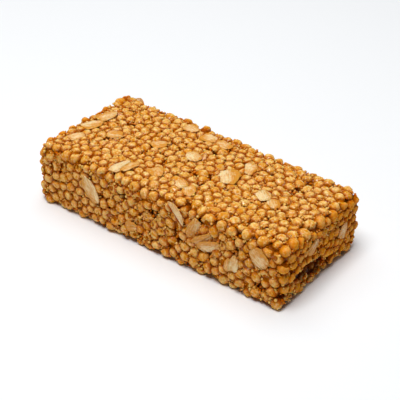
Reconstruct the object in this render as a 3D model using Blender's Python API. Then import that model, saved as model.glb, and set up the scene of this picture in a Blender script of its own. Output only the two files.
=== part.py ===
# Granola bar: one pressed slab of puffed grain and oat flakes, bound with syrup.
# Metres, +Z up. The origin is the middle of the underside. The length runs along X, the width along Y.
# The slab is a single solid out to its uneven outline: pebbled by the grains on the top and the four
# cut sides, slightly narrower at its top than at its foot, crumbled out low on the +X end, and flat
# underneath where it rests.

import math

import bmesh
import bpy
from mathutils import Matrix, Vector, noise

# driving dimensions
LENGTH = 0.0962
WIDTH = 0.0450
HEIGHT = 0.0214
EDGE_RADIUS = 0.0012          # the long and short edges, worn round by loose grains
GRID_STEP = 0.00155           # spacing of the mesh on the top, the sides and the rim underneath
RIM_STEPS = 2                 # steps of that mesh between a side and the flat underneath
PANEL_INSET = 0.0070          # the one plain panel that fills most of the flat

# the knife leans: how far each side's top edge stands in from its foot, at either end of the bar
FRONT_LEAN = {"left": 0.0008, "right": 0.0014}
BACK_LEAN = {"left": 0.0001, "right": 0.0020}

# surface relief
CLUSTER_SIZE = 0.0042         # two or three puffed grains that stick out together
CLUSTER_RELIEF = 0.0012       # how far a cluster stands out of the seams round it
WAVE_SIZE = 0.0110            # broad hollows and swells of the pressed faces
WAVE_RELIEF = 0.0005
RIM_LIFT = 0.0003             # how far the rim of the underside stands clear of the table

# places where grains have broken away: middle, half width and half height on the face, and depth
END_HOLLOWS = [
    {"y": -0.0105, "z": 0.0062, "half_y": 0.0052, "half_z": 0.0030, "depth": 0.0030},
    {"y": -0.0035, "z": 0.0052, "half_y": 0.0060, "half_z": 0.0034, "depth": 0.0033},
    {"y": 0.0050, "z": 0.0032, "half_y": 0.0046, "half_z": 0.0026, "depth": 0.0024},
]
FRONT_HOLLOWS = [
    {"x": -0.0005, "z": 0.0142, "half_x": 0.0028, "half_z": 0.0018, "depth": 0.0014},
    {"x": 0.0217, "z": 0.0104, "half_x": 0.0026, "half_z": 0.0018, "depth": 0.0014},
    {"x": 0.0308, "z": 0.0196, "half_x": 0.0030, "half_z": 0.0016, "depth": 0.0015},
    {"x": 0.0404, "z": 0.0059, "half_x": 0.0026, "half_z": 0.0017, "depth": 0.0014},
]


def clear_scene():
    for obj in list(bpy.data.objects):
        bpy.data.objects.remove(obj, do_unlink=True)


def make_collection(name):
    collection = bpy.data.collections.new(name)
    bpy.context.scene.collection.children.link(collection)
    return collection


def make_material(name, color, roughness):
    material = bpy.data.materials.new(name)
    material.use_nodes = True
    shader = material.node_tree.nodes["Principled BSDF"]
    shader.inputs["Base Color"].default_value = (*color, 1.0)
    shader.inputs["Roughness"].default_value = roughness
    shader.inputs["Metallic"].default_value = 0.0
    return material


def smooth_step(low, high, value):
    t = min(max((value - low) / (high - low), 0.0), 1.0)
    return t * t * (3.0 - 2.0 * t)


def gridded_block(length, width, height, step):
    # a cube stretched to the slab's size, each of its edges cut into steps of about the same length
    mesh = bmesh.new()
    bmesh.ops.create_cube(mesh, size=1.0)
    bmesh.ops.scale(mesh, vec=(length, width, height), verts=mesh.verts)
    for axis, size in enumerate((length, width, height)):
        along = [edge for edge in mesh.edges
                 if abs(edge.verts[0].co[axis] - edge.verts[1].co[axis]) > 0.5 * size]
        cuts = round(size / step) - 1
        bmesh.ops.subdivide_edges(mesh, edges=along, cuts=cuts, use_grid_fill=True)
    return mesh


def open_edges(mesh):
    return [edge for edge in mesh.edges if len(edge.link_faces) == 1]


def flat_underside(mesh, length, width, height, rim):
    # inside its rim the underside is flat: the grid goes, a panel comes, and a fan of faces joins them
    middle = [face for face in mesh.faces
              if face.normal.z < -0.5
              and all(abs(vertex.co.x) < 0.5 * length - rim and abs(vertex.co.y) < 0.5 * width - rim
                      for vertex in face.verts)]
    bmesh.ops.delete(mesh, geom=middle, context="FACES")
    rim_edges = open_edges(mesh)
    panel_size = (length - 2.0 * PANEL_INSET, width - 2.0 * PANEL_INSET, 1.0)
    panel_place = Matrix.Translation((0.0, 0.0, -0.5 * height)) @ Matrix.Diagonal((*panel_size, 1.0))
    bmesh.ops.create_grid(mesh, x_segments=1, y_segments=1, size=0.5, matrix=panel_place)
    panel_edges = [edge for edge in open_edges(mesh) if edge not in rim_edges]
    bmesh.ops.bridge_loops(mesh, edges=rim_edges + panel_edges)


def rounded(point, half, radius):
    # the nearest point of a box with rounded edges, and the way out of its surface there
    core = Vector([min(max(point[i], radius - half[i]), half[i] - radius) for i in range(3)])
    outward = (point - core).normalized()
    return core + outward * radius, outward


def leaned(point):
    # the two long sides tip inwards towards the top; each lean changes evenly from end to end
    along = point.x / LENGTH + 0.5
    up = point.z / HEIGHT
    lean = FRONT_LEAN if point.y < 0.0 else BACK_LEAN
    amount = lean["left"] + (lean["right"] - lean["left"]) * along
    share = abs(point.y) / (0.5 * WIDTH)
    return Vector((point.x, point.y - math.copysign(amount * up * share, point.y), point.z))


def cluster_relief(point):
    # round bumps, one in each cell of an irregular scatter, with a seam where two cells meet
    distances, _ = noise.voronoi(point / CLUSTER_SIZE)
    bump = 1.0 - min(distances[0] / 0.75, 1.0) ** 2
    return CLUSTER_RELIEF * (bump - 0.8)


def wave_relief(point):
    return WAVE_RELIEF * noise.noise(point / WAVE_SIZE)


def hollow_depth(across, up, hollow, side):
    # a dish: full depth over its middle, closing to nothing at an oval rim
    reach = math.hypot((across - hollow[side]) / hollow["half_" + side],
                       (up - hollow["z"]) / hollow["half_z"])
    return hollow["depth"] * (1.0 - smooth_step(0.45, 1.15, reach))


def crumbled(point, outward):
    # the hollows broken out of the +X end and of the front side
    if outward.x > 0.7:
        point.x -= max(hollow_depth(point.y, point.z, hollow, "y") for hollow in END_HOLLOWS)
    if outward.y < -0.7:
        point.y += max(hollow_depth(point.x, point.z, hollow, "x") for hollow in FRONT_HOLLOWS)
    return point


def shape_slab(mesh):
    half = Vector((0.5 * LENGTH, 0.5 * WIDTH, 0.5 * HEIGHT))
    rim = RIM_STEPS * GRID_STEP
    for vertex in mesh.verts:
        under = vertex.co.z < 1e-6 - half.z
        from_side = min(half.x - abs(vertex.co.x), half.y - abs(vertex.co.y))
        point, outward = rounded(vertex.co, half, EDGE_RADIUS)
        point.z += half.z
        relief = cluster_relief(point) + wave_relief(point)
        if under:
            # the flat stays flat, and its rim lifts a little clear of the table, more between the clusters
            lift = 1.0 - smooth_step(0.0, rim, from_side)
            point.z += lift * (RIM_LIFT + 0.5 * max(-relief, 0.0))
            outward.z = 0.0
        vertex.co = crumbled(leaned(point + outward * relief), outward)


def centre_on_underside(mesh):
    # the box round the finished slab is centred on the origin and stands on z = 0
    xs = [vertex.co.x for vertex in mesh.verts]
    ys = [vertex.co.y for vertex in mesh.verts]
    zs = [vertex.co.z for vertex in mesh.verts]
    middle = Vector((0.5 * (min(xs) + max(xs)), 0.5 * (min(ys) + max(ys)), min(zs)))
    bmesh.ops.translate(mesh, vec=-middle, verts=mesh.verts)


def make_bar(collection):
    slab = gridded_block(LENGTH, WIDTH, HEIGHT, GRID_STEP)
    flat_underside(slab, LENGTH, WIDTH, HEIGHT, (RIM_STEPS - 0.5) * GRID_STEP)
    shape_slab(slab)
    centre_on_underside(slab)
    bmesh.ops.recalc_face_normals(slab, faces=slab.faces)
    mesh = bpy.data.meshes.new("granola_bar")
    slab.to_mesh(mesh)
    slab.free()
    mesh.shade_smooth()
    bar = bpy.data.objects.new("granola_bar", mesh)
    bar.data.materials.append(make_material("syrup-glazed puffed grain", (0.60, 0.27, 0.055), 0.38))
    collection.objects.link(bar)


clear_scene()
make_bar(make_collection("Granola bar"))
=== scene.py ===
import math

import bpy
import numpy as np
from mathutils import Matrix, Vector


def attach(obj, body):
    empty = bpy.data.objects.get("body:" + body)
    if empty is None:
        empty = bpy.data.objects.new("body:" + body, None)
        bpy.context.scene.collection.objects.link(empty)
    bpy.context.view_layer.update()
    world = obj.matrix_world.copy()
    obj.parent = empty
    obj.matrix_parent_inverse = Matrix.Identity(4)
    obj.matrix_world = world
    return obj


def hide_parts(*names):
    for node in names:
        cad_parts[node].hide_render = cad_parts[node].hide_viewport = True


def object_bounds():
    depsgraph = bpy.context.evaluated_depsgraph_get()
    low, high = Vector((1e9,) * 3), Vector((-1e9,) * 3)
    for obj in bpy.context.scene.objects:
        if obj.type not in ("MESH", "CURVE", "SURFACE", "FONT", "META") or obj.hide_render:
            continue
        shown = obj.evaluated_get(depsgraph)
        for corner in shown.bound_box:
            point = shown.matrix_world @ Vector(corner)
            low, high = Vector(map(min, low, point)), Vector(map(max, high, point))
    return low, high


# A granola bar: puffed grains and oat flakes pressed into a slab and bound with honey syrup.
# Length along X, width along Y, lying on z = 0. Sizes are in millimetres here, and in metres in the meshes
# and the materials' reliefs.

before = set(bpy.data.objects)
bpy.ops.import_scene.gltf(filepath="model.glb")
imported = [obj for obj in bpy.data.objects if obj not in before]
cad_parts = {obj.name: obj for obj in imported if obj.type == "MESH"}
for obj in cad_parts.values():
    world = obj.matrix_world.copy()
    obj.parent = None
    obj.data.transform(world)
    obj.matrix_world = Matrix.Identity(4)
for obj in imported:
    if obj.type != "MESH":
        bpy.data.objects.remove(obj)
cadLow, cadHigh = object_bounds()
barNode = "granola_bar"
mm = 0.001


# small helpers

def smoothStep(low, high, value):
    # 0 up to low, 1 from high on, and three t squared less two t cubed between them
    t = np.clip((value - low) / (high - low), 0.0, 1.0)
    return t * t * (3.0 - 2.0 * t)


def unit(vectors):
    # each vector divided by its own length
    return vectors / np.maximum(np.linalg.norm(vectors, axis=-1, keepdims=True), 1e-12)


def linear(hexColour):
    # sRGB hex to the linear colour that the shader wants
    srgb = np.array([int(hexColour[i:i + 2], 16) for i in (1, 3, 5)]) / 255.0
    channels = np.where(srgb <= 0.04045, srgb / 12.92, ((srgb + 0.055) / 1.055) ** 2.4)
    return (*channels.tolist(), 1.0)


def closePairs(points, reach):
    # each pair of points within about one reach: the points are sorted into cubes one reach wide,
    # and every cube is matched with itself and with the 13 cubes on one side of it
    cube = np.floor(points / reach).astype(np.int64)
    cube -= cube.min(0) - 1
    span = cube.max(0) + 2
    key = (cube[:, 0] * span[1] + cube[:, 1]) * span[2] + cube[:, 2]
    order = np.argsort(key, kind="stable")
    sortedKey = key[order]
    steps = [(a * span[1] + b) * span[2] + c for a in (0, 1) for b in (-1, 0, 1) for c in (-1, 0, 1)
             if (a, b, c) >= (0, 0, 0)]
    firsts, seconds = [], []
    for step in steps:
        start = np.searchsorted(sortedKey, key + step, "left")
        stop = np.searchsorted(sortedKey, key + step, "right")
        for k in range(int((stop - start).max(initial=0))):
            first = np.nonzero(start + k < stop)[0]
            second = order[start[first] + k]
            keep = first < second if step == 0 else np.full(len(first), True)
            firsts.append(first[keep])
            seconds.append(second[keep])
    first, second = np.concatenate(firsts), np.concatenate(seconds)
    near = ((points[first] - points[second]) ** 2).sum(1) < reach * reach
    return first[near], second[near]


def closeTo(points, centres, reach):
    # each pair of a point and a centre within about one reach, by the same sorting into cubes
    low = np.minimum(points.min(0), centres.min(0)) - reach
    cube = lambda places: np.floor((places - low) / reach).astype(np.int64)
    span = np.maximum(cube(points).max(0), cube(centres).max(0)) + 2
    key = lambda cubes: (cubes[:, 0] * span[1] + cubes[:, 1]) * span[2] + cubes[:, 2]
    centreKey = key(cube(centres))
    order = np.argsort(centreKey, kind="stable")
    sortedKey = centreKey[order]
    pointKey = key(cube(points))
    found, owners = [], []
    for step in [(a * span[1] + b) * span[2] + c for a in (-1, 0, 1) for b in (-1, 0, 1) for c in (-1, 0, 1)]:
        start = np.searchsorted(sortedKey, pointKey + step, "left")
        stop = np.searchsorted(sortedKey, pointKey + step, "right")
        for k in range(int((stop - start).max(initial=0))):
            point = np.nonzero(start + k < stop)[0]
            found.append(point)
            owners.append(order[start[point] + k])
    return np.concatenate(found), np.concatenate(owners)


# the slab's walls, taken from the CAD box

bar = {
    "outset": (0.05, 0.15, 0.25),      # how far the walls lie outside the CAD box: ends, sides, top
    "frontLean": (0.8, 1.4),      # how far the top edge stands in from the foot, at the left and right ends
    "backLean": (0.1, 2.0),
    "swell": 0.25,                # broad swells and hollows of the pressed faces
    "swellSize": 11.0,
    "seed": 3,
}
wallLow = np.array(cadLow) / mm - np.multiply(bar["outset"], (1, 1, 0))
wallHigh = np.array(cadHigh) / mm + bar["outset"]
wallNormals = np.array([(-1, 0, 0), (1, 0, 0), (0, -1, 0), (0, 1, 0), (0, 0, -1), (0, 0, 1)], float)
leftEnd, rightEnd, front, back, under, top = range(6)


def swells(points):
    # for each wall the mean of three crossed sine waves, of that wall's own directions and phases
    rng = np.random.default_rng(bar["seed"])
    waves = unit(rng.normal(size=(6, 3, 3))) * 2.0 * math.pi / bar["swellSize"]
    phases = rng.uniform(0.0, 2.0 * math.pi, (6, 3))
    height = np.sin(np.einsum("nc,kwc->nkw", points, waves) + phases).mean(2) * bar["swell"]
    height[:, under] = 0.0
    return height


def wallGaps(points):
    # how far each point lies outside each wall; the long sides lean in towards the top
    along = (points[:, 0] - wallLow[0]) / (wallHigh[0] - wallLow[0])
    up = points[:, 2] / wallHigh[2]
    frontIn = up * np.interp(along, (0, 1), bar["frontLean"])
    backIn = up * np.interp(along, (0, 1), bar["backLean"])
    low, high = wallLow - points, points - wallHigh
    gaps = np.stack([low[:, 0], high[:, 0], low[:, 1] + frontIn, high[:, 1] + backIn,
                     low[:, 2], high[:, 2]], 1)
    return gaps - swells(points)


def onWall(wall, a, b, sink):
    # a place on a wall, in that face's own two directions, sunk below it
    across, upward = wallAxes[wall]
    middle = np.array((0.0, 0.0, 0.0 if wall not in (under, top) else 0.5 * wallHigh[2]))
    place = middle + a * across + b * upward + wallNormals[wall] * (np.abs(wallNormals[wall]) @ wallHigh)
    if wall == under:
        place[2] = 0.0
    for _ in range(3):
        place = place - wallNormals[wall] * wallGaps(place[None])[0, wall]
    return place - wallNormals[wall] * sink


wallAxes = {
    leftEnd: np.array([(0, -1, 0), (0, 0, 1)], float),
    rightEnd: np.array([(0, 1, 0), (0, 0, 1)], float),
    front: np.array([(1, 0, 0), (0, 0, 1)], float),
    back: np.array([(-1, 0, 0), (0, 0, 1)], float),
    under: np.array([(1, 0, 0), (0, -1, 0)], float),
    top: np.array([(1, 0, 0), (0, 1, 0)], float),
}


# oat flakes: where each one lies

flakes = {
    # wall, place on it (along, across or up), length, width, turn in the face, tilt about the length, sink,
    # how far syrup has soaked it, from 0 dry and pale to 1 as amber as the grains, and which side it soaked
    "shown": [
        (top, -17.9, -16.4, 8.4, 3.2, 82, 12, 0.0, 0.1, -0.2),
        (top, -15.6, -14.4, 7.4, 3.8, 78, -8, 0.2, 0.65, 0.4),
        (top, -42.4, 5.9, 8.0, 5.2, 84, -5, 0.5, 0.5, 0.5),
        (top, -42.3, -1.9, 7.6, 5.4, 72, -5, 0.5, 0.4, -0.5),
        (top, -41.7, -10.9, 6.4, 4.8, 70, -5, 0.5, 0.4, 0.4),
        (top, -32.3, -2.0, 5.6, 4.8, 35, 0, 0.3, 0.6, 0.3),
        (top, -17.1, 2.5, 5.6, 4.4, 48, 0, 0.3, 0.6, -0.4),
        (top, -15.2, 17.2, 5.8, 4.4, -5, 0, 0.3, 0.6, 0.4),
        (top, -6.8, 15.8, 6.4, 4.6, 8, 0, 0.3, 0.5, -0.5),
        (top, -0.2, 15.7, 6.0, 4.4, -10, 0, 0.4, 0.65, 0.3),
        (top, -3.5, 3.2, 5.8, 4.8, -26, 4, 0.1, 0.4, 0.8),
        (top, -7.4, -11.4, 5.4, 5.0, -30, 0, 0.3, 0.6, -0.4),
        (top, 3.2, -12.0, 5.4, 4.4, -38, 0, 0.3, 0.5, 0.5),
        (top, 7.2, -13.4, 5.8, 4.4, -52, 2, 0.3, 0.6, 0.4),
        (top, 12.4, 0.6, 8.4, 6.8, -56, 5, 0.0, 0.45, 1.3),
        (top, 14.9, 8.8, 7.0, 4.0, -68, -5, 0.1, 0.4, 0.8),
        (top, 27.0, -1.6, 5.6, 4.6, -40, 4, 0.1, 0.1, 0.5),
        (top, 31.4, -2.8, 5.4, 4.2, -50, -3, 0.2, 0.6, 0.6),
        (front, -25.3, 12.6, 9.4, 4.8, -52, -4, 0.1, 0.4, -0.8),
        (front, 9.0, 18.6, 8.4, 3.6, -47, 18, 0.2, 0.0, 0.3),
        (front, 15.6, 15.4, 8.0, 4.4, 74, 22, 0.5, 0.55, 0.5),
        (front, 18.8, 12.9, 8.7, 4.0, 43, 22, 0.5, 0.5, 0.6),
        (front, 21.4, 11.8, 9.2, 4.2, 30, 20, 0.4, 0.4, 0.7),
        (front, 31.0, 9.9, 6.0, 3.4, 84, 6, 0.0, 0.15, 0.3),
        (front, 28.8, 8.8, 4.8, 2.4, 78, -8, 0.3, 0.8, 0.3),
        (front, 39.6, 15.6, 6.8, 6.2, -38, 4, 0.2, 0.5, 0.6),
        (front, -8.6, 6.2, 4.8, 3.6, 20, 0, 0.4, 0.8, 0.3),
        (rightEnd, 11.8, 11.2, 5.8, 4.6, 62, 0, 0.3, 0.7, 0.4),
        (rightEnd, -5.4, 14.6, 6.0, 4.2, 30, 0, 0.4, 0.9, -0.4),
    ],
    "scattered": {back: 12, under: 22},
    "length": (5.0, 8.6),
    "thickness": 0.9,
    "seed": 11,
}


def flakeRows():
    rng = np.random.default_rng(flakes["seed"])
    rows = list(flakes["shown"])
    for wall, count in flakes["scattered"].items():
        reach = [np.abs(axis) @ (wallHigh * (1, 1, 0.5)) for axis in wallAxes[wall]]
        for _ in range(count):
            a = rng.uniform(-0.92, 0.92) * reach[0]
            b = rng.uniform(-0.85, 0.85) * reach[1]
            b += 0.0 if wall in (under, top) else reach[1]
            length = rng.uniform(*flakes["length"])
            rows.append((wall, a, b, length, length * rng.uniform(0.55, 0.8),
                         rng.uniform(-90, 90), rng.uniform(-14, 14), rng.uniform(0.3, 0.7),
                         rng.uniform(0.1, 0.9), rng.uniform(-1.0, 1.0)))
    return rows


def flakeFrame(row):
    # the flake's middle, and its long, wide and outward directions
    wall, a, b, length, width, turn, tilt, sink = row[:8]
    across, upward = wallAxes[wall]
    outward = wallNormals[wall]
    turn, tilt = math.radians(turn), math.radians(tilt)
    longWay = math.cos(turn) * across + math.sin(turn) * upward
    flatWay = -math.sin(turn) * across + math.cos(turn) * upward
    wideWay = math.cos(tilt) * flatWay + math.sin(tilt) * outward
    return onWall(wall, a, b, sink), longWay, wideWay, np.cross(longWay, wideWay)


def flakeSpheres(rows, spacing=1.3, radius=0.45):
    # small spheres set in a grid over each flake's oval, which hold the grains off it
    found = []
    for row in rows:
        middle, longWay, wideWay, _ = flakeFrame(row)
        halfLong, halfWide = 0.5 * row[3], 0.5 * row[4]
        a, b = np.meshgrid(np.arange(-halfLong, halfLong + 0.1, spacing),
                           np.arange(-halfWide, halfWide + 0.1, spacing))
        inside = (a / halfLong) ** 2 + (b / halfWide) ** 2 <= 1.0
        found.append(middle + a[inside][:, None] * longWay + b[inside][:, None] * wideWay)
    centres = np.concatenate(found)
    return centres, np.full(len(centres), radius)


# places where grains have broken away

pits = {
    # wall, place on it, radius of the ball that is missing, how far its middle stands out of the wall
    "balls": [
        (rightEnd, -12.8, 7.6, 2.4, 0.2),
        (rightEnd, -9.4, 7.2, 3.0, 0.2),
        (rightEnd, -4.8, 6.2, 3.0, 0.3),
        (rightEnd, -6.0, 3.2, 2.6, 0.8),
        (rightEnd, -0.4, 4.8, 2.9, 0.4),
        (rightEnd, 4.4, 3.2, 2.4, 0.4),
        (front, -0.5, 14.2, 1.8, 0.0),
        (front, 21.7, 9.6, 1.7, 0.0),
        (front, 30.8, 20.2, 1.9, 0.2),
        (front, 40.4, 5.9, 1.8, 0.0),
        (front, -14.0, 3.0, 1.6, 0.2),
        (top, -3.1, 10.9, 1.6, 0.0),
        (top, 8.9, 3.0, 1.4, 0.2),
        (back, -20.0, 6.0, 2.0, 0.2),
        (back, 22.0, 16.0, 2.2, 0.2),
        (leftEnd, 8.0, 12.0, 1.8, 0.2),
    ],
}


def pitSpheres():
    centres = [onWall(wall, a, b, -out) for wall, a, b, radius, out in pits["balls"]]
    return np.array(centres), np.array([ball[3] for ball in pits["balls"]], float)


def outwardOf(points, deep, shallow):
    # towards open air: the normals of the walls that are near, and the ways to the pits that are near;
    # its length is 0 when everything is further than deep, 1 when something is nearer than shallow
    centres, radii = pitSpheres()
    ways = centres[None] - points[:, None]
    distance = np.linalg.norm(ways, axis=2)
    nearPit = smoothStep(-deep, -shallow, radii - distance) / np.maximum(distance, 1e-6)
    total = smoothStep(-deep, -shallow, wallGaps(points)) @ wallNormals + (ways * nearPit[..., None]).sum(1)
    return total / np.maximum(np.linalg.norm(total, axis=1, keepdims=True), 1.0)


# puffed grains: packed the way a press packs them

grains = {
    "radius": 1.80,               # the space a grain keeps for itself
    "spread": 0.13,
    "smallest": 1.15,
    "small": 0.12,                # this share of the grains is between the smallest and the middle size
    "largest": 2.15,
    "fill": 0.82,                 # share of the slab that whole round grains would fill
    "held": 0.84,                 # share of its radius that a grain keeps behind the walls
    "rounds": 170,
    "rate": 0.42,                 # how much of an overlap one round takes away
    "jitter": 0.05,               # the random stir of the first rounds
    "pull": 0.045,                # how far each round draws a grain this near to a wall out to it
    "pullReach": 1.2,
    "standOff": 0.4,              # the most that a grain keeps off the walls; nearly all keep less
    "edge": (0.4, 3.0),           # how round the slab's edges are, for each grain its own
    "seed": 5,
    "layer": 3.6,                 # grains whose middles lie within this of a wall are made whole
    # grains that stuck on proud of the slab: where, and their radius
    "proud": [
        (-10.8, 19.8, 21.6, 1.6),
        (46.1, -20.9, 2.1, 1.75),
        (-47.0, -20.2, 14.2, 1.6),
        (47.0, 19.0, 18.4, 1.7),
    ],
}


def packGrains(fixed, fixedRadii):
    # grains start small at random places and grow, while each round pushes overlapping ones apart and
    # back inside the walls; the flakes' and pits' spheres stay where they are
    rng = np.random.default_rng(grains["seed"])
    ballVolume = 4.19             # of a ball of radius 1
    volume = np.prod(wallHigh - wallLow) - 0.8 * (ballVolume * fixedRadii ** 3).sum()
    count = int(grains["fill"] * volume / (ballVolume * grains["radius"] ** 3 * 1.02))
    radii = rng.normal(grains["radius"], grains["spread"], count).clip(grains["smallest"], grains["largest"])
    small = rng.random(count) < grains["small"]
    radii[small] = rng.uniform(grains["smallest"], grains["radius"], int(small.sum()))
    standOff = grains["standOff"] * rng.random((count, 1)) ** 3
    edge = rng.uniform(*grains["edge"], (count, 1))
    places = rng.uniform(wallLow + 1.2, wallHigh - 1.2, (count, 3))
    points = np.concatenate([places, fixed])
    sizes = np.concatenate([radii, fixedRadii])
    loose = np.concatenate([np.ones(count), np.zeros(len(fixed))])
    for turn in range(grains["rounds"]):
        grown = min(1.0, 0.7 + 0.3 * turn / (0.45 * grains["rounds"]))
        if turn % 4 == 0:
            first, second = closePairs(points, 2.35 * grains["largest"])
            moving = loose[first] + loose[second] > 0
            first, second = first[moving], second[moving]
        apart = points[second] - points[first]
        distance = np.maximum(np.linalg.norm(apart, axis=1), 1e-6)
        overlap = grown * (sizes[first] + sizes[second]) - distance
        touching = overlap > 0
        i, j = first[touching], second[touching]
        push = apart[touching] / distance[touching, None] * overlap[touching, None]
        share = loose[i] / (loose[i] + loose[j])
        for axis in range(3):
            points[:, axis] -= np.bincount(i, push[:, axis] * share * grains["rate"], len(points))
            points[:, axis] += np.bincount(j, push[:, axis] * (1.0 - share) * grains["rate"], len(points))
        stirred = 1.0 - turn / (0.6 * grains["rounds"])
        if stirred > 0.0:
            points[:count] += rng.normal(0.0, grains["jitter"] * stirred, (count, 3))
        outside = wallGaps(points[:count]) + grains["held"] * grown * radii[:, None] + standOff
        nearest = outside == outside.max(1, keepdims=True)
        drawn = nearest & (outside < 0.0) & (outside > -grains["pullReach"])
        points[:count] += drawn @ wallNormals * grains["pull"]
        # past a wall, or past the rounding where two walls meet, a grain is put back the shortest way
        beyond = np.maximum(outside + edge, 0.0)
        length = np.maximum(np.linalg.norm(beyond, axis=1, keepdims=True), 1e-6)
        points[:count] -= beyond / length * np.maximum(length - edge, 0.0) @ wallNormals
    return points[:count], radii


# meshes of many closed shells

def shellFaces(rings, around):
    # one shell: a pole, rings of points and a pole, with a fan of triangles at each end and quads between
    j = np.arange(around)
    k = (j + 1) % around
    u, w = j / around, (j + 1) / around
    row = 1.0 / (rings + 1)
    last = 1 + (rings - 1) * around
    pole = 1 + rings * around
    fans = [
        (np.stack([0 * j, 1 + j, 1 + k], 1), [(0.5 * (u + w), 0 * u), (u, 0 * u + row), (w, 0 * u + row)]),
        (np.stack([last + j, 0 * j + pole, last + k], 1),
         [(u, 0 * u + 1 - row), (0.5 * (u + w), 0 * u + 1), (w, 0 * u + 1 - row)]),
    ]
    faces = [fans[0]]
    for r in range(rings - 1):
        a, b = 1 + r * around, 1 + (r + 1) * around
        high, low = (r + 1) * row, (r + 2) * row
        faces.append((np.stack([a + j, b + j, b + k, a + k], 1),
                      [(u, 0 * u + high), (u, 0 * u + low), (w, 0 * u + low), (w, 0 * u + high)]))
    faces.append(fans[1])
    corners = np.concatenate([face.ravel() for face, _ in faces])
    sizes = np.concatenate([np.full(len(face), face.shape[1]) for face, _ in faces])
    places = np.concatenate([np.stack([np.stack(uv, 1) for uv in uvs], 1).reshape(-1, 2) for _, uvs in faces])
    return corners, sizes, places


def meshObject(name, points, corners, sizes, values=None, uv=None):
    # one mesh object at the origin, from whole arrays in millimetres
    mesh = bpy.data.meshes.new(name)
    mesh.vertices.add(len(points))
    mesh.vertices.foreach_set("co", (points * mm).astype(np.float32).ravel())
    mesh.loops.add(len(corners))
    mesh.loops.foreach_set("vertex_index", corners.astype(np.int32))
    mesh.polygons.add(len(sizes))
    mesh.polygons.foreach_set("loop_start", (np.cumsum(sizes) - sizes).astype(np.int32))
    mesh.update(calc_edges=True)
    mesh.validate()
    mesh.shade_smooth()
    for label, numbers in (values or {}).items():
        attribute = mesh.attributes.new(label, "FLOAT", "POINT")
        attribute.data.foreach_set("value", numbers.astype(np.float32).ravel())
    if uv is not None:
        mesh.uv_layers.new(name="OFBake").uv.foreach_set("vector", uv.astype(np.float32).ravel())
    thing = bpy.data.objects.new(name, mesh)
    bpy.context.scene.collection.objects.link(thing)
    return thing


def shellObject(name, shells, rings, around, values=None):
    # shells: one row of points for each shell; every shell gets its own tile of the map
    corners, sizes, places = shellFaces(rings, around)
    count, each = shells.shape[:2]
    allCorners = (corners[None] + each * np.arange(count)[:, None]).ravel()
    side = math.ceil(math.sqrt(count))
    tile = np.stack([np.arange(count) % side, np.arange(count) // side], 1)
    uv = (tile[:, None] + 0.06 + 0.88 * places[None]) / side
    return meshObject(name, shells.reshape(-1, 3), allCorners, np.tile(sizes, count), values,
                      uv.reshape(-1, 2))


def shellDirections(polar, around):
    # polar angle and turn of each point of a shell: pole, rings, pole
    turns = 2.0 * math.pi * np.arange(around) / around
    v = np.concatenate([[0.0], np.repeat(polar, around), [math.pi]])
    u = np.concatenate([[0.0], np.tile(turns, len(polar)), [0.0]])
    return v, u


def frames(axes, rng):
    # for each axis, two more directions square to it, turned at random
    side = unit(np.cross(axes, rng.normal(size=axes.shape)))
    return side, np.cross(axes, side)


# puffed grain shape

grainShape = {
    "around": 11,
    "polar": (0.32, 0.66, 1.00, 1.36, 1.80, 2.4),
    "wide": (1.04, 1.14),         # of the space the grain keeps
    "flat": (0.82, 0.98),
    "dimple": (-0.2, 0.5),        # how deep the dent at the pole is; below 0 there is none
    "dimpleOnTop": 0.35,          # the top's grains show less of it
    "rim": 0.06,
    "lump": 0.08,
    "rough": 0.034,
    "tilt": 0.42,
    "glaze": (0.85, 0.85, 0.34, 0.34, 0.34, 0.14),     # amber on each wall, in the walls' order: partly syrup gathered on the cut ends, partly painted shade, most on the ends and least on the top
    "edge": 1.3,                  # how round the pressed slab's edges are
    "gap": 0.03,                  # left between two grains that press on each other
    "seamReach": 0.88,
}


def grainAxes(points, rng):
    # pressed flat: under the top and the underside grains lie flat, on the long sides most face outwards,
    # and on the ends most lie flat, seen edge on
    gaps = wallGaps(points)
    wall = gaps.argmax(1)
    axes = wallNormals[wall].copy()
    onEnd = (wall == leftEnd) | (wall == rightEnd)
    onSide = (wall == front) | (wall == back)
    upright = np.array((0.0, 0.0, 1.0))
    chance = rng.random(len(points))
    axes[onEnd & (chance < 0.7)] = upright
    axes[onSide & (chance < 0.22)] = upright
    deep = gaps.max(1) < -2.2
    axes[deep] = unit(rng.normal(size=(int(deep.sum()), 3)))
    return unit(axes + grainShape["tilt"] * rng.normal(size=axes.shape) * rng.random((len(points), 1)) ** 0.5)


def grainShells(points, radii, rng):
    # radius = space kept x (1 + a ring near the pole + lumps of one, two and three lobes round the axis),
    # flattened along the axis and dimpled at the pole
    v, u = shellDirections(grainShape["polar"], grainShape["around"])
    n = len(points)
    draw = lambda span: rng.uniform(*span, (n, 1))
    lobes = (rng.normal(size=(n, 1)) * np.sin(u + draw((0, 6.3))) * np.sin(v)
             + rng.normal(size=(n, 1)) * np.sin(2 * u + draw((0, 6.3))) * np.sin(v) ** 2
             + 0.5 * rng.normal(size=(n, 1)) * np.sin(3 * u + draw((0, 6.3))) * np.sin(v))
    rough = grainShape["rough"] * rng.normal(size=(n, len(v)))
    rim = grainShape["rim"] * np.exp(-((v - 0.86) / 0.34) ** 2)
    swell = 1.0 + grainShape["lump"] * lobes + rough + rim
    wide, narrow, flat = draw(grainShape["wide"]), draw((0.94, 1.04)), draw(grainShape["flat"])
    a = np.sin(v) * np.cos(u) * swell * wide
    b = np.sin(v) * np.sin(u) * swell * wide * narrow
    onTop = (wallGaps(points).argmax(1) == top)[:, None]
    dimple = np.maximum(draw(grainShape["dimple"]), 0.0) * np.where(onTop, grainShape["dimpleOnTop"], 1.0)
    c = np.cos(v) * swell * flat - dimple * np.exp(-(v / 0.5) ** 2)
    axes = grainAxes(points, rng)
    side, other = frames(axes, rng)
    local = a[..., None] * side[:, None] + b[..., None] * other[:, None] + c[..., None] * axes[:, None]
    return points[:, None] + local * radii[:, None, None]


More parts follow.
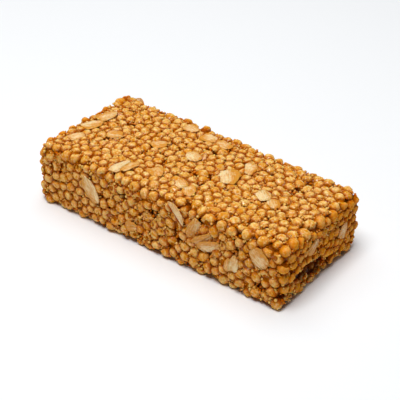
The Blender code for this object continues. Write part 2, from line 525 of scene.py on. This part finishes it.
def crownValues(shells, points):
    # the angle between the way out of the grain and the way out of the bar, over pi: 0 where a
    # grain faces straight out, 0.5 at its side and 1 at its back
    outward = unit(outwardOf(points, 3.6, 1.4) + 1e-6)
    facing = np.einsum("npc,nc->np", unit(shells - points[:, None]), outward)
    return np.arccos(np.clip(facing, -1.0, 1.0)) / math.pi


def glazeAndWallShadeValues(points):
    # more amber on the two ends, less on the long sides and least on the top: partly syrup gathered there,
    # partly painted shade of the faces that the lamps light less
    return (smoothStep(-3.4, -1.2, wallGaps(points)) * grainShape["glaze"]).max(1)


def pressed(shells, give=0.75):
    # what would stand out of a wall, or out of the rounding where two walls meet, is pressed back to it,
    # and nothing goes under the bar
    flatPoints = shells.reshape(-1, 3)
    gaps = wallGaps(flatPoints)
    beyond = np.maximum(gaps + grainShape["edge"], 0.0)
    beyond[:, under] = 0.0
    length = np.maximum(np.linalg.norm(beyond, axis=1, keepdims=True), 1e-6)
    excess = beyond / length * np.maximum(length - grainShape["edge"], 0.0)
    flatPoints = flatPoints - give * excess @ wallNormals
    flatPoints[:, 2] = np.maximum(flatPoints[:, 2], 0.0)
    return flatPoints.reshape(shells.shape)


def pressedTogether(shells, owner, centres, radii):
    # neighbouring grains flatten each other: the plane between two balls lies where both are equally
    # near, counted from their surfaces, and what reaches past it is pushed straight back. The seam
    # value is 1 at such a plane and falls to 0 a seam's reach inside it.
    first, second = closePairs(centres, 2.3 * grains["largest"])
    first, second = np.concatenate([first, second]), np.concatenate([second, first])
    order = np.argsort(first, kind="stable")
    first, second = first[order], second[order]
    start = np.searchsorted(first, owner, "left")
    stop = np.searchsorted(first, owner, "right")
    shells = shells.copy()
    margin = np.full(shells.shape[:2], 9.0)
    for _ in range(2):
        for k in range(int((stop - start).max())):
            mine = np.nonzero(start + k < stop)[0]
            other = second[start[mine] + k]
            centre = centres[owner[mine]]
            apart = centres[other] - centre
            distance = np.linalg.norm(apart, axis=1)
            outward = apart / distance[:, None]
            reach = 0.5 * (distance + radii[owner[mine]] - radii[other]) - grainShape["gap"]
            past = np.einsum("npc,nc->np", shells[mine] - centre[:, None], outward) - reach[:, None]
            shells[mine] -= np.maximum(past, 0.0)[..., None] * outward[:, None]
            margin[mine] = np.minimum(margin[mine], np.abs(np.minimum(past, 0.0)))
    return shells, 1.0 - smoothStep(0.0, grainShape["seamReach"], margin)


# syrup: it fills the seams over a solid core

syrup = {
    "voxel": 0.6,
    "swell": 1.04,                # the balls that stand for the grains with their coat of syrup, and how far
    "sunk": 0.24,                 # each is sunk below its grain, both as shares of the grain's radius
    "reach": 5.2,
    "coreInset": 4.0,
    "smoothing": 5,
}


def coreShell(rings=14, around=28, power=0.28):
    # a block with rounded edges: each coordinate of a ball raised to a small power, then stretched
    v, u = shellDirections(np.linspace(0.16, math.pi - 0.16, rings), around)
    ball = np.stack([np.sin(v) * np.cos(u), np.sin(v) * np.sin(u), np.cos(v)], 1)
    half = 0.5 * (wallHigh - wallLow) - syrup["coreInset"]
    return np.sign(ball) * np.abs(ball) ** power * half + 0.5 * (wallHigh + wallLow)


def evaluated(thing, name):
    # the mesh with its modifiers applied, and the helper object gone
    graph = bpy.context.evaluated_depsgraph_get()
    mesh = bpy.data.meshes.new_from_object(thing.evaluated_get(graph))
    bpy.data.objects.remove(thing)
    mesh.name = name
    finished = bpy.data.objects.new(name, mesh)
    bpy.context.scene.collection.objects.link(finished)
    return finished


def pointsOf(thing):
    found = np.empty(3 * len(thing.data.vertices), np.float32)
    thing.data.vertices.foreach_get("co", found)
    return found.reshape(-1, 3).astype(float) / mm


def makeSyrup(points, radii):
    # balls a little smaller than the grains and sunk below them, melted together with the core
    keep = wallGaps(points).max(1) > -syrup["reach"]
    centres = points[keep] - outwardOf(points[keep], 4.5, 2.0) * syrup["sunk"] * radii[keep, None]
    v, u = shellDirections(np.linspace(0.5, math.pi - 0.5, 5), 8)
    ball = np.stack([np.sin(v) * np.cos(u), np.sin(v) * np.sin(u), np.cos(v)], 1)
    shells = centres[:, None] + ball[None] * (radii[keep] * syrup["swell"])[:, None, None]
    core = coreShell()
    ballCorners, ballSizes, _ = shellFaces(5, 8)
    coreCorners, coreSizes, _ = shellFaces(14, 28)
    corners = np.concatenate([(ballCorners[None] + shells.shape[1] * np.arange(len(shells))[:, None]).ravel(),
                              coreCorners + shells.shape[0] * shells.shape[1]])
    sizes = np.concatenate([np.tile(ballSizes, len(shells)), coreSizes])
    seed = meshObject("syrupSeed", np.concatenate([shells.reshape(-1, 3), core]), corners, sizes)
    melt = seed.modifiers.new("Melt", "REMESH")
    melt.mode = "VOXEL"
    melt.voxel_size = syrup["voxel"] * mm
    melt.use_smooth_shade = True
    settle = seed.modifiers.new("Settle", "SMOOTH")
    settle.factor = 0.6
    settle.iterations = syrup["smoothing"]
    return evaluated(seed, "syrup")


# oat flakes

flakeShape = {
    "around": 26,
    "rows": (0.30, 0.60, 0.84, 0.97),
    "crease": 0.42,
    "wobble": 0.075,
    "blunt": 0.82,                # below 1 the oval is fuller at its corners
}


def flakeShells(rows, rng):
    # an oval, blunter at one end, thick in the middle and thin at its rim, bent lengthwise and cupped
    # across, with a crease along the outer face; the rim wobbles with three and five lobes
    rowsOut = np.array(flakeShape["rows"])
    reach = np.concatenate([[0.0], np.repeat(np.concatenate([rowsOut, [1.03], rowsOut[::-1]]),
                                             flakeShape["around"]), [0.0]])
    rings = 2 * len(rowsOut) + 1
    turns = np.tile(2.0 * math.pi * np.arange(flakeShape["around"]) / flakeShape["around"], rings)
    u = np.concatenate([[0.0], turns, [0.0]])
    face = np.concatenate([[1.0], np.repeat(np.concatenate([rowsOut * 0 + 1, [0.0], rowsOut * 0 - 1]),
                                            flakeShape["around"]), [-1.0]])
    shells, along, across = [], [], []
    for row in rows:
        middle, longWay, wideWay, outward = flakeFrame(row)
        halfLong, halfWide = 0.5 * row[3], 0.5 * row[4]
        phase = rng.uniform(0.0, 2.0 * math.pi, 3)
        rim = 1.0 + flakeShape["wobble"] * (0.5 * np.sin(3 * u + phase[0]) + 0.7 * np.sin(5 * u + phase[1])
                                            + 0.4 * np.sin(9 * u + phase[2]))
        a = reach * rim * np.sign(np.cos(u)) * np.abs(np.cos(u)) ** flakeShape["blunt"]
        b = reach * rim * np.sign(np.sin(u)) * np.abs(np.sin(u)) ** flakeShape["blunt"] * (1.0 - 0.16 * a)
        thick = 0.5 * flakes["thickness"] * rng.uniform(0.85, 1.2) * (1.0 - 0.72 * reach ** 3)
        groove = flakeShape["crease"] * np.exp(-(b / 0.11) ** 2) * (1.0 - smoothStep(0.7, 0.95, np.abs(a)))
        bend, cup = rng.uniform(-0.2, 0.4), rng.uniform(-0.25, 0.35)
        lift = bend * a ** 2 + cup * b ** 2 + 0.10 * np.sin(3 * a + phase[0]) * np.cos(2 * b + phase[1])
        height = lift + face * thick - np.where(face > 0, groove, 0.0) * thick
        shells.append(middle + (a * halfLong)[:, None] * longWay + (b * halfWide)[:, None] * wideWay
                      + height[:, None] * outward)
        along.append(a * halfLong)
        across.append(b * halfWide)
    return np.array(shells), np.tile(reach, (len(rows), 1)), np.array(along), np.array(across), rings


# crumbs: chips of grain and hull caught in the seams

crumbs = {
    "tried": 120000,
    "kept": 8600,
    "share": (0.8, 1.0, 2.2, 1.6, 1.4, 4.8),           # of them on each wall, in the walls' order
    "radius": (0.26, 0.58),
    "depth": (0.45, 1.25),
    "edge": 1.7,                  # none lies this near to two walls at once
    "clear": (-0.06, 0.45),       # room between a crumb's middle and the grains round it
    "polar": (1.05, 2.1),
    "around": 5,
    "seed": 23,
}


def crumbPlaces(centres, radii, rng):
    # random places under the walls, of which those in the narrow room between grains are kept
    share = np.array(crumbs["share"]) / sum(crumbs["share"])
    wall = rng.choice(6, crumbs["tried"], p=share)
    places = rng.uniform(wallLow, wallHigh, (crumbs["tried"], 3))
    gaps = wallGaps(places)[np.arange(len(wall)), wall]
    sunk = rng.uniform(*crumbs["depth"], len(wall))
    places -= wallNormals[wall] * (gaps + sunk)[:, None]
    outer = np.sort(wallGaps(places), 1)
    places = places[(outer[:, -1] < -crumbs["depth"][0]) & (outer[:, -2] < -crumbs["edge"])]
    point, ball = closeTo(places, centres, grains["largest"] + crumbs["clear"][1])
    clear = np.full(len(places), 9.0)
    np.minimum.at(clear, point, np.linalg.norm(places[point] - centres[ball], axis=1) - radii[ball])
    fits = np.nonzero((clear > crumbs["clear"][0]) & (clear < crumbs["clear"][1]))[0]
    chosen = rng.permutation(fits)[:crumbs["kept"]]
    print("crumbs: room for", len(fits))
    size = (clear[chosen] + 0.22) * rng.uniform(0.75, 1.15, len(chosen))
    return places[chosen], size.clip(*crumbs["radius"])


def crumbShells(places, sizes, rng):
    # a ball of twelve points, every one pulled in or out at random, stretched and turned at random
    v, u = shellDirections(crumbs["polar"], crumbs["around"])
    u = u + (v > 1.6) * math.pi / crumbs["around"]
    ball = np.stack([np.sin(v) * np.cos(u), np.sin(v) * np.sin(u), np.cos(v)], 1)
    rough = rng.uniform(0.78, 1.15, (len(places), len(ball), 1))
    stretch = rng.uniform((0.8, 0.8, 0.7), (1.3, 1.1, 0.9), (len(places), 3))[:, None]
    local = ball[None] * rough * stretch
    axes = unit(rng.normal(size=(len(places), 3)))
    side, other = frames(axes, rng)
    turned = (local[..., :1] * side[:, None] + local[..., 1:2] * other[:, None]
              + local[..., 2:] * axes[:, None])
    return places[:, None] + turned * sizes[:, None, None]


# materials

def put(tree, kind, *values, out=0, **settings):
    # adds one node and gives one of its outputs: values or links fill its inputs in order, or a
    # dictionary of them fills its inputs by name or number
    node = tree.nodes.new("ShaderNode" + kind)
    for label, value in settings.items():
        setattr(node, label, value)
    filled = values[0] if values and isinstance(values[0], dict) else dict(enumerate(values))
    for label, value in filled.items():
        if isinstance(value, bpy.types.NodeSocket):
            tree.links.new(value, node.inputs[label])
        else:
            node.inputs[label].default_value = value
    return node.outputs[out]


def startMaterial(name, shaderInputs):
    material = bpy.data.materials.new(name)
    material.use_nodes = True
    shader = material.node_tree.nodes["Principled BSDF"]
    for label, value in shaderInputs.items():
        shader.inputs[label].default_value = value
    return material, material.node_tree, shader


def joinTo(tree, shader, outputs):
    for label, output in outputs.items():
        tree.links.new(output, shader.inputs[label])


def blobs(size, where, detail=2.0):
    # the inputs of a noise whose blobs are about this many millimetres across
    return {"Vector": where, "Scale": 0.6 / (size * mm), "Detail": detail}


puffedGrain = {
    # painted glints: pale specks on the grains
    "paintedGlint": "#FFDF9C",
    "pale": "#F3CE80",
    "honey": "#D89022",
    # glaze: the dots of glaze, and on the bar's ends and long sides partly syrup and partly painted shade
    "glaze": "#E28A10",
    # amber: partly syrup run into the seams and down the grains' sides, partly painted shade there
    "amber": "#AC4E00",
    # brown: painted shade deep below the bar's surface
    "brown": "#6E2E00",
    "blotch": 1.3,                # mm: broad honey patches, about a third of a grain
    "fine": 0.65,                 # the wrinkles of the puffed skin, drawn a little coarse so that they show
    "glazeDotsAndGlints": 0.45,                 # pale specks, which are painted glints, and dots of glaze
    "spots": 0.5,                 # wet spots of gloss
    "relief": 0.0004,             # metres
    "shader": {"Roughness": 0.45, "IOR": 1.4, "Specular IOR Level": 0.0, "Subsurface Weight": 0.5,
               "Subsurface Scale": 0.0012, "Subsurface Radius": (1.0, 0.42, 0.14), "Coat Weight": 0.4,
               "Coat Roughness": 0.08, "Coat IOR": 1.9, "Coat Tint": (1.0, 0.90, 0.55, 1.0)},
}


def puffedGrainMaterial():
    # puffed millet under a thin set honey glaze: a dry pale crown with pale specks that are painted glints;
    # honey at the pole, painted shade of the dent; honey and amber down the sides, in the seams and on the
    # bar's ends and long sides, partly glaze and partly painted shade; nearly brown deep between the grains,
    # painted shade; and a clear gloss in broken wet spots
    material, tree, shader = startMaterial("glazed puffed millet", puffedGrain["shader"])
    tone, seam, depth, crown, dimple, glaze = [
        put(tree, "Attribute", out="Fac", attribute_name=label)
        for label in ("tone", "seam", "depth", "crown", "dimple", "glaze")]
    where = put(tree, "TexCoord", out="Object")
    blotch, fine, glazeDotsAndGlints, spots = [
        put(tree, "TexNoise", blobs(puffedGrain[label], where, detail), out="Fac")
        for label, detail in (("blotch", 2.0), ("fine", 3.0), ("glazeDotsAndGlints", 1.0), ("spots", 2.0))]

    honeyShare = put(tree, "MapRange", blotch, 0.35, 0.68, 0.0, 0.4)
    for more in (put(tree, "MapRange", tone, -2.0, 2.0, 0.0, 0.7),
                 put(tree, "MapRange", fine, 0.35, 0.65, -0.35, 0.45),
                 # honey round each grain's pole, where the dent lies: painted shade of the dent
                 put(tree, "MapRange", dimple, 0.05, 0.18, 0.6, 0.0),
                 # honey down each grain's sides away from its crown: partly glaze, partly painted shade
                 put(tree, "MapRange", crown, 0.14, 0.40, 0.0, 0.8)):
        honeyShare = put(tree, "Math", honeyShare, more, operation="ADD")
    # amber in the seams and down the sides away from the crown: partly syrup run there, partly painted shade
    edgeShare = put(tree, "Math", put(tree, "MapRange", seam, 0.2, 1.0),
                    put(tree, "MapRange", crown, 0.30, 0.50), operation="MAXIMUM")
    seamShare = put(tree, "Math", edgeShare, put(tree, "MapRange", fine, 0.3, 0.6, 0.7, 1.0),
                    operation="MULTIPLY")

    colour = linear(puffedGrain["pale"])
    for share, label in ((put(tree, "MapRange", honeyShare, 0.2, 1.4), "honey"),
                         (put(tree, "MapRange", glazeDotsAndGlints, 0.46, 0.36, 0.0, 0.5), "glaze"),
                         # pale specks that are painted glints
                         (put(tree, "MapRange", glazeDotsAndGlints, 0.55, 0.64, 0.0, 0.6), "paintedGlint"),
                         # amber on the bar's ends and long sides: partly syrup, partly painted shade of those
                         # faces
                         (glaze, "glaze"),
                         # amber in the seams and down the grains' sides: partly syrup, partly painted shade
                         (seamShare, "amber"),
                         # brown deep below the bar's surface: painted shade
                         (put(tree, "MapRange", depth, 0.9, 2.4, 0.0, 0.9), "brown")):
        # 0, 6 and 7 are the mix's factor and its two colours, and 2 is the mixed colour
        colour = put(tree, "Mix", {0: share, 6: colour, 7: linear(puffedGrain[label])}, out=2,
                     data_type="RGBA")

    gloss = put(tree, "MapRange", spots, 0.56, 0.62, 0.02, 0.9)
    for less in (put(tree, "MapRange", glaze, 0.2, 0.8, 1.0, 0.15),
                 put(tree, "MapRange", depth, 0.8, 2.0, 1.0, 0.1)):
        gloss = put(tree, "Math", gloss, less, operation="MULTIPLY")
    bump = put(tree, "Bump", {"Distance": puffedGrain["relief"], "Height": fine})
    joinTo(tree, shader, {"Base Color": colour, "Coat Weight": gloss, "Normal": bump, "Coat Normal": bump,
                          "Roughness": put(tree, "MapRange", fine, 0.3, 0.7, 0.30, 0.52)})
    return material


honeySyrup = {
    "thin": "#B05A00",
    # deep: painted shade of the gaps deep below the bar's surface
    "deep": "#5C2600",
    "skin": 0.6,                  # mm: the dimples of its set skin
    "spots": 0.5,
    "relief": 0.0003,
    "shader": {"IOR": 1.4, "Specular IOR Level": 0.0, "Subsurface Weight": 0.4, "Subsurface Scale": 0.0015,
               "Subsurface Radius": (1.0, 0.35, 0.08), "Coat Weight": 0.2, "Coat Roughness": 0.05,
               "Coat IOR": 1.6},
}


def honeySyrupMaterial():
    # boiled honey syrup, set: clear amber near the bar's surface, darkening to almost black-brown deeper in
    # the gaps, which is painted shade, and wet-looking, with small highlights broken up by its uneven skin
    material, tree, shader = startMaterial("set honey syrup", honeySyrup["shader"])
    depth = put(tree, "Attribute", out="Fac", attribute_name="depth")
    where = put(tree, "TexCoord", out="Object")
    skin, spots = [put(tree, "TexNoise", blobs(honeySyrup[label], where), out="Fac")
                   for label in ("skin", "spots")]
    # towards the deep colour the deeper below the bar's surface, which is painted shade, mottled by the
    # skin's noise
    share = put(tree, "Math", put(tree, "MapRange", depth, 0.5, 2.2),
                put(tree, "MapRange", skin, 0.35, 0.65, -0.15, 0.15), operation="ADD")
    colour = put(tree, "Mix", {0: share, 6: linear(honeySyrup["thin"]), 7: linear(honeySyrup["deep"])}, out=2,
                 data_type="RGBA")
    bump = put(tree, "Bump", {"Distance": honeySyrup["relief"], "Height": skin})
    joinTo(tree, shader, {"Base Color": colour, "Normal": bump, "Coat Normal": bump,
                          "Roughness": put(tree, "MapRange", skin, 0.3, 0.7, 0.14, 0.34),
                          "Coat Weight": put(tree, "MapRange", spots, 0.54, 0.60, 0.0, 0.9)})
    return material


rolledOat = {
    "cream": "#FFDAA2",
    "glazed": "#E29630",
    # seam: painted shade on the parts of a flake deep below the bar's surface
    "seam": "#A05004",
    "streak": (0.35, 2.2),        # per mm along and across: streaks a few mm long and under half a mm wide
    "blotch": 1.8,                # mm
    "fine": 0.55,                 # floury grain, drawn coarse so that it shows
    "relief": 0.00045,
    "shader": {"Roughness": 0.5, "IOR": 1.4, "Specular IOR Level": 0.2, "Subsurface Weight": 0.35,
               "Subsurface Scale": 0.0012, "Subsurface Radius": (1.0, 0.6, 0.3), "Coat Weight": 0.3,
               "Coat Roughness": 0.25, "Coat IOR": 1.5},
}


def rolledOatMaterial():
    # steamed and rolled oat: cream and floury, streaked along its length, and tinted amber on the side
    # and round the rim where syrup has soaked in, and darker where it lies deep in the bar, which is painted
    # shade
    material, tree, shader = startMaterial("rolled oat", rolledOat["shader"])
    rim, tone, depth, along, across, glaze, soakedSide = [
        put(tree, "Attribute", out="Fac", attribute_name=label)
        for label in ("rim", "tone", "depth", "along", "across", "glaze", "soakedSide")]
    onFlake = put(tree, "CombineXYZ", *[
        put(tree, "Math", value, scale, operation="MULTIPLY")
        for value, scale in zip((along, across, tone), (*rolledOat["streak"], 40.0))])
    streak = put(tree, "TexNoise", {"Vector": onFlake, "Scale": 1.0, "Detail": 3.0}, out="Fac")
    where = put(tree, "TexCoord", out="Object")
    blotch, fine = [put(tree, "TexNoise", blobs(rolledOat[label], where), out="Fac")
                    for label in ("blotch", "fine")]

    share = put(tree, "MapRange", rim, 0.5, 1.0, 0.0, 0.5)
    for more in (glaze,
                 put(tree, "Math", put(tree, "MapRange", across, -1.4, 1.4, -0.5, 0.5), soakedSide,
                     operation="MULTIPLY"),
                 put(tree, "MapRange", blotch, 0.38, 0.66, -0.25, 0.3),
                 put(tree, "MapRange", streak, 0.35, 0.65, -0.3, 0.35),
                 put(tree, "MapRange", fine, 0.35, 0.65, -0.2, 0.25)):
        share = put(tree, "Math", share, more, operation="ADD")
    colour = linear(rolledOat["cream"])
    for part, label in ((put(tree, "MapRange", share, 0.0, 1.1), "glazed"),
                        # towards the seam colour deep below the bar's surface: painted shade
                        (put(tree, "MapRange", depth, 0.9, 2.4), "seam")):
        colour = put(tree, "Mix", {0: part, 6: colour, 7: linear(rolledOat[label])}, out=2, data_type="RGBA")
    relief = put(tree, "Math", streak, put(tree, "Math", fine, 0.8, operation="MULTIPLY"), operation="ADD")
    bump = put(tree, "Bump", {"Distance": rolledOat["relief"], "Height": relief})
    joinTo(tree, shader, {"Base Color": colour, "Normal": bump})
    return material


soakedHull = {
    "pale": "#FFC66C",
    # amber: also painted shade on chips deep below the bar's surface
    "amber": "#CE6A00",
    "spots": 0.5,                 # mm
    "shader": {"Roughness": 0.35, "IOR": 1.4, "Specular IOR Level": 0.0, "Subsurface Weight": 0.4,
               "Subsurface Scale": 0.001, "Subsurface Radius": (1.0, 0.4, 0.12), "Coat Weight": 0.5,
               "Coat Roughness": 0.05, "Coat IOR": 1.6},
}


def soakedHullMaterial():
    # chips of hull and grain soaked in syrup: each its own tone from pale gold to amber, more amber the
    # deeper it lies, which is painted shade, with a wet gloss
    material, tree, shader = startMaterial("syrup-soaked hull", soakedHull["shader"])
    tone, depth = [put(tree, "Attribute", out="Fac", attribute_name=label) for label in ("tone", "depth")]
    # amber from each chip's own tone, and more of it the deeper the chip lies below the bar's surface:
    # painted shade
    share = put(tree, "Math", put(tree, "MapRange", tone, -1.2, 0.2),
                put(tree, "MapRange", depth, 0.4, 1.5, -0.2, 0.6), operation="ADD")
    colour = put(tree, "Mix", {0: share, 6: linear(soakedHull["pale"]), 7: linear(soakedHull["amber"])},
                 out=2, data_type="RGBA")
    spots = put(tree, "TexNoise", blobs(soakedHull["spots"], put(tree, "TexCoord", out="Object")), out="Fac")
    joinTo(tree, shader, {"Base Color": colour,
                          "Coat Weight": put(tree, "MapRange", spots, 0.54, 0.60, 0.0, 0.7)})
    return material


# build the pieces

def depthOf(points):
    return -wallGaps(points.reshape(-1, 3)).max(1)


def finishPiece(thing, material):
    thing.data.materials.clear()
    thing.data.materials.append(material)
    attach(thing, "root")


def buildBar():
    rows = flakeRows()
    flakeCentres, flakeRadii = flakeSpheres(rows)
    pitCentres, pitRadii = pitSpheres()
    proud = np.array(grains["proud"])
    points, radii = packGrains(np.concatenate([flakeCentres, pitCentres, proud[:, :3]]),
                               np.concatenate([flakeRadii, pitRadii, proud[:, 3]]))
    points, radii = np.concatenate([points, proud[:, :3]]), np.concatenate([radii, proud[:, 3]])
    print("packed", len(points), "grains")

    rng = np.random.default_rng(grains["seed"] + 1)
    inPit = np.linalg.norm(points[:, None] - pitCentres[None], axis=2) < pitRadii + 1.6 * grains["radius"]
    outer = np.nonzero((wallGaps(points).max(1) > -grains["layer"]) | inPit.any(1))[0]
    allCentres, allRadii = np.concatenate([points, flakeCentres]), np.concatenate([radii, flakeRadii])
    shells, seam = pressedTogether(grainShells(points[outer], radii[outer], rng), outer, allCentres, allRadii)
    shells[:-len(proud)] = pressed(shells[:-len(proud)])
    shells[-len(proud):] = pressed(shells[-len(proud):], 0.0)     # these only stay above the floor
    count, each = shells.shape[:2]
    polar, _ = shellDirections(grainShape["polar"], grainShape["around"])
    values = {"seam": seam, "depth": depthOf(shells), "tone": np.repeat(rng.normal(size=count), each),
              "crown": crownValues(shells, points[outer]), "dimple": np.tile(polar / math.pi, count),
              "glaze": np.repeat(glazeAndWallShadeValues(points[outer]), each)}
    puffed = shellObject("puffed_grains", shells, len(grainShape["polar"]), grainShape["around"], values)
    finishPiece(puffed, puffedGrainMaterial())
    print("puffed grains", count, "with", len(puffed.data.polygons), "faces")

    binder = makeSyrup(points, radii)
    binderPoints = pressed(pointsOf(binder), 1.0)
    binder.data.vertices.foreach_set("co", (binderPoints * mm).astype(np.float32).ravel())
    depth = binder.data.attributes.new("depth", "FLOAT", "POINT")
    depth.data.foreach_set("value", depthOf(binderPoints).astype(np.float32))
    finishPiece(binder, honeySyrupMaterial())
    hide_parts(barNode)
    print("syrup", len(binder.data.polygons), "faces")

    rng = np.random.default_rng(flakes["seed"] + 1)
    shells, reach, along, across, rings = flakeShells(rows, rng)
    shells = pressed(shells, 0.6)
    values = {"rim": reach.ravel(), "depth": depthOf(shells), "along": along.ravel(),
              "across": across.ravel(),
              "glaze": np.repeat([row[8] for row in rows], shells.shape[1]),
              "soakedSide": np.repeat([row[9] for row in rows], shells.shape[1]),
              "tone": np.repeat(rng.uniform(-1.0, 1.0, len(rows)), shells.shape[1])}
    oats = shellObject("oat_flakes", shells, rings, flakeShape["around"], values)
    finishPiece(oats, rolledOatMaterial())
    print("oat flakes", len(rows))

    rng = np.random.default_rng(crumbs["seed"])
    places, sizes = crumbPlaces(allCentres, allRadii, rng)
    shells = pressed(crumbShells(places, sizes, rng), 1.0)
    values = {"depth": depthOf(shells), "tone": np.repeat(rng.normal(size=len(shells)), shells.shape[1])}
    chips = shellObject("crumbs", shells, 2, crumbs["around"], values)
    finishPiece(chips, soakedHullMaterial())
    print("crumbs", len(places))


buildBar()


# floor, light and camera

studio = {
    "floor": "#F6F8FA",
    "world": 0.05,
    # two soft boxes overhead: a broad one behind to the left, and a smaller one a little in front
    "broad": {"at": (-0.146, 0.146, 0.773), "size": 0.80, "watts": 3.8},
    "small": {"at": (0.0, -0.222, 0.770), "size": 0.34, "watts": 4.25},
}


def makeFloor():
    bpy.ops.mesh.primitive_plane_add(size=8.0, location=(0.0, 0.0, 0.0))
    floor = bpy.context.object
    floor.name = "floor"
    paper = {"Base Color": linear(studio["floor"]), "Roughness": 0.9, "Specular IOR Level": 0.1}
    floor.data.materials.append(startMaterial("white sweep", paper)[0])


def makeLamp(name, at, size, watts):
    light = bpy.data.lights.new(name, "AREA")
    light.shape = "SQUARE"
    light.size = size
    light.energy = watts
    lamp = bpy.data.objects.new(name, light)
    lamp.location = at
    lamp.rotation_euler = (-Vector(at)).to_track_quat("-Z", "Y").to_euler()
    bpy.context.scene.collection.objects.link(lamp)


def makeWorld():
    world = bpy.data.worlds.new("studio")
    world.use_nodes = True
    background = world.node_tree.nodes["Background"]
    background.inputs["Color"].default_value = (1.0, 1.0, 1.0, 1.0)
    background.inputs["Strength"].default_value = studio["world"]
    bpy.context.scene.world = world


view = {
    "azimuth": 35.83,             # degrees round from looking along +Y
    "elevation": 33.67,
    "roll": 2.0,
    "distance": 358.6,            # mm from the point looked at
    "aim": (1.1, 1.05, 8.2),
    "lens": 99.2,
}


def makeCamera():
    azimuth, elevation = math.radians(view["azimuth"]), math.radians(view["elevation"])
    away = Vector((math.sin(azimuth) * math.cos(elevation), -math.cos(azimuth) * math.cos(elevation),
                   math.sin(elevation)))
    camera = bpy.data.objects.new("camera", bpy.data.cameras.new("camera"))
    camera.data.lens = view["lens"]
    camera.data.sensor_width = 36.0
    camera.data.clip_start = 0.01
    camera.location = (Vector(view["aim"]) + view["distance"] * away) * mm
    turn = away.to_track_quat("Z", "Y").to_matrix() @ Matrix.Rotation(math.radians(view["roll"]), 3, "Z")
    camera.rotation_euler = turn.to_euler()
    bpy.context.scene.collection.objects.link(camera)
    bpy.context.scene.camera = camera


makeFloor()
makeLamp("broad box", **studio["broad"])
makeLamp("small box", **studio["small"])
makeWorld()
makeCamera()
bpy.context.scene.view_settings.view_transform = "Standard"
print("studio ready")
